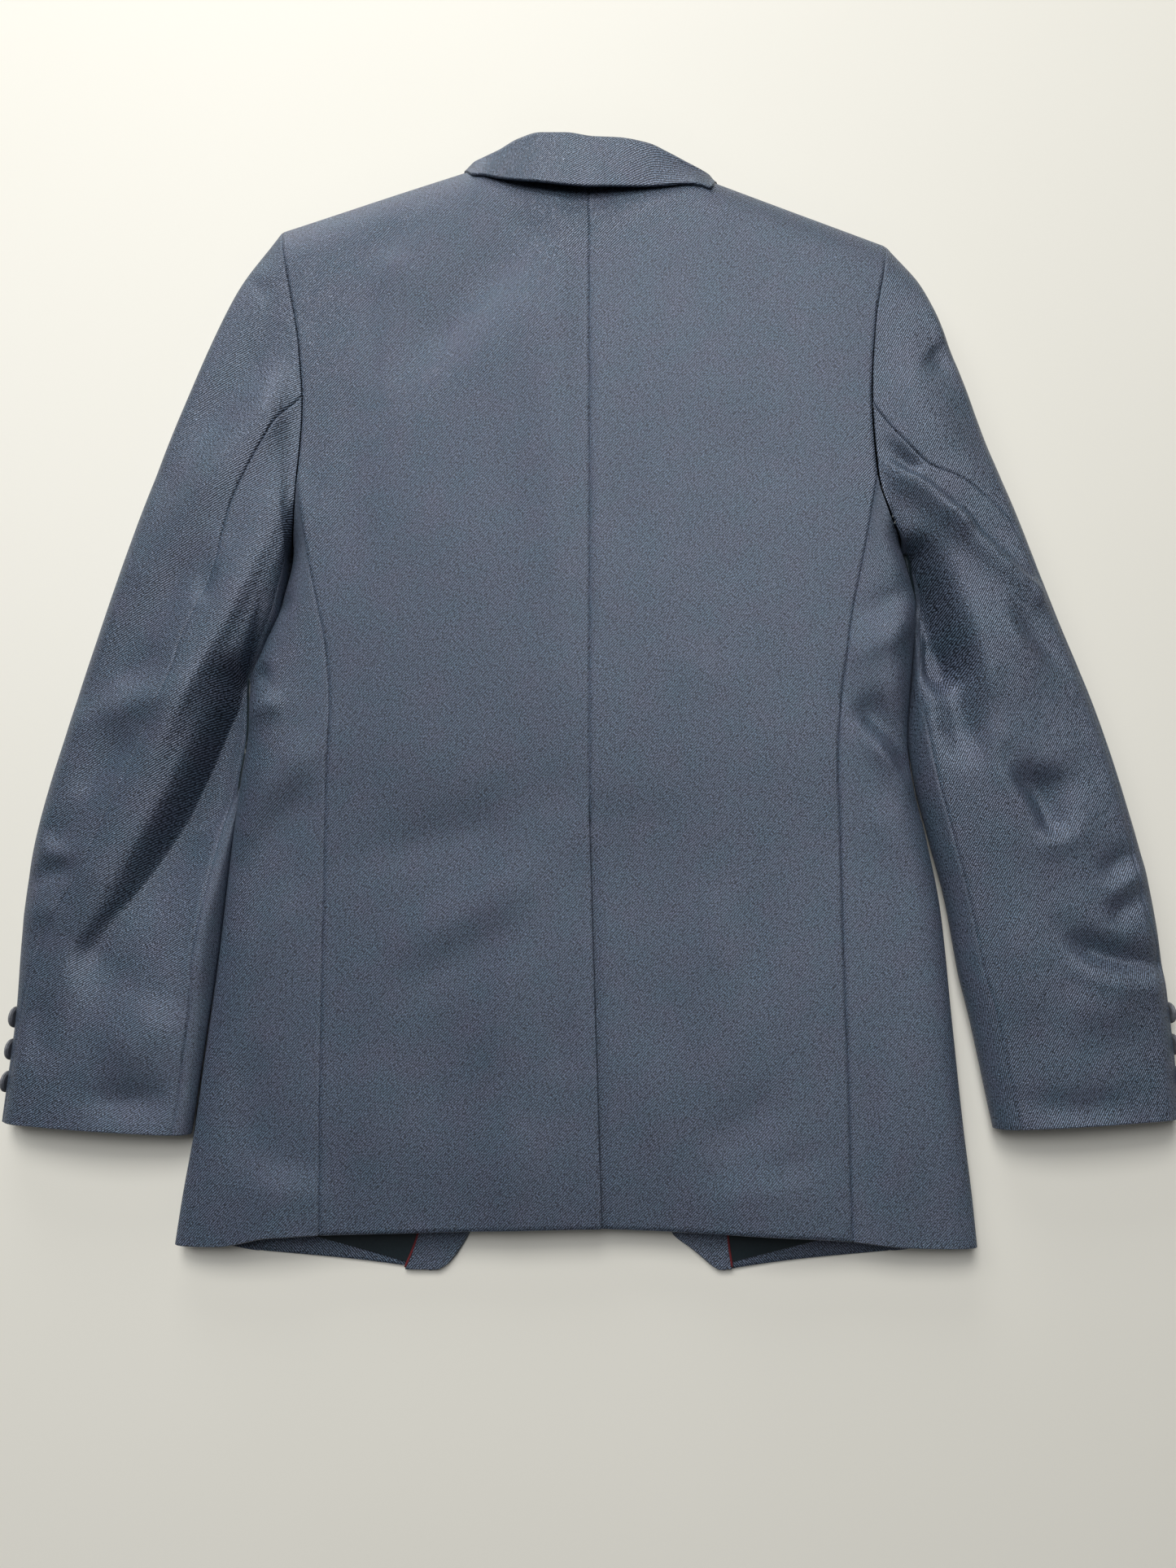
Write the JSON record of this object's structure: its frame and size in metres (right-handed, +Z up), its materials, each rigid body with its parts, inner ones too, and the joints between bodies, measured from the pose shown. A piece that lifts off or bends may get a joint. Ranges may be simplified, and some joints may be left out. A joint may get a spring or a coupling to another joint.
{
  "type": "blazer",
  "caption": "Men's single-breasted wool twill blazer laid flat face down, with vented back, two-piece sleeves and turned-down collar.",
  "frame": {"origin": "on the surface that the blazer lies on, on the centre line, midway between the two front buttons, at the underside of the left front", "axes": "+Z up through the back, +Y towards the collar, +X towards the wearer's right"},
  "size_m": [0.8398, 0.8316, 0.0463],
  "materials": {
    "wool": "matt blue-grey heathered wool twill",
    "satin": "dark teal satin lining",
    "horn": "dark grey-brown horn-effect resin"
  },
  "bodies": {
    "root": {"back_left": "wool", "side_left": "wool", "front_left": "wool", "lapel_left": "wool", "collar_end_left": "wool", "facing_left": "wool", "top_sleeve_left": "wool", "under_sleeve_left": "wool", "lining_left": "satin", "cuff_button_left_1": "horn", "cuff_button_left_2": "horn", "cuff_button_left_3": "horn", "back_right": "wool", "side_right": "wool", "front_right": "wool", "lapel_right": "wool", "collar_end_right": "wool", "facing_right": "wool", "top_sleeve_right": "wool", "under_sleeve_right": "wool", "lining_right": "satin", "cuff_button_right_1": "horn", "cuff_button_right_2": "horn", "cuff_button_right_3": "horn", "collar": "wool", "front_button_1": "horn", "front_button_2": "horn"}
  },
  "joints": []
}
